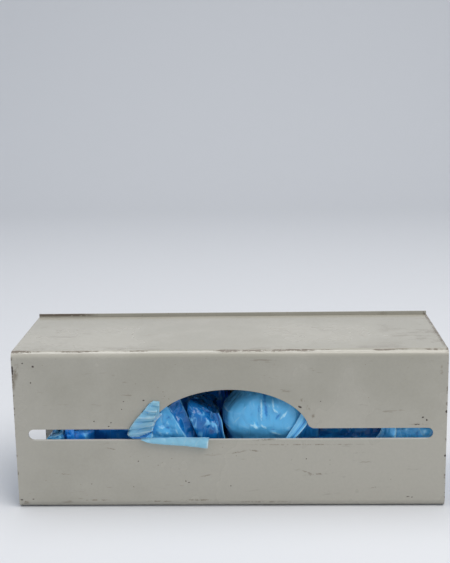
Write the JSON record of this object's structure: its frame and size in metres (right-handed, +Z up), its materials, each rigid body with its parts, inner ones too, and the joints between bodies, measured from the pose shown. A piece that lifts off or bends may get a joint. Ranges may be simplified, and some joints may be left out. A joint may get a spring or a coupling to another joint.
{
  "type": "disposable glove dispenser",
  "caption": "Folded steel wall box, open at both ends, with a long front slot and a domed mouth, holding loose thin blue disposable gloves.",
  "frame": {"origin": "middle of the base, on the surface that the casing stands on", "axes": "+X along the slot to the right as seen from the front, -Y out of the front panel, +Z up, with the wall face at +Y"},
  "size_m": [0.355, 0.1263, 0.1376],
  "materials": {
    "painted_steel": "semi-gloss grey-beige stoved paint, worn and chipped along the bends, edges and lip",
    "glove_film": "thin translucent blue film, crumpled, with sharp highlights"
  },
  "bodies": {
    "root": {"casing": "painted_steel", "pulled_glove": "glove_film", "left_mouth_glove": "glove_film", "right_mouth_glove": "glove_film", "rear_left_glove": "glove_film", "rear_right_glove": "glove_film", "slot_left_glove": "glove_film", "slot_left_end_glove": "glove_film", "slot_right_glove": "glove_film", "slot_right_end_glove": "glove_film", "bed_glove_1": "glove_film", "bed_glove_2": "glove_film", "bed_glove_3": "glove_film", "bed_glove_4": "glove_film", "bed_glove_5": "glove_film"}
  },
  "joints": []
}
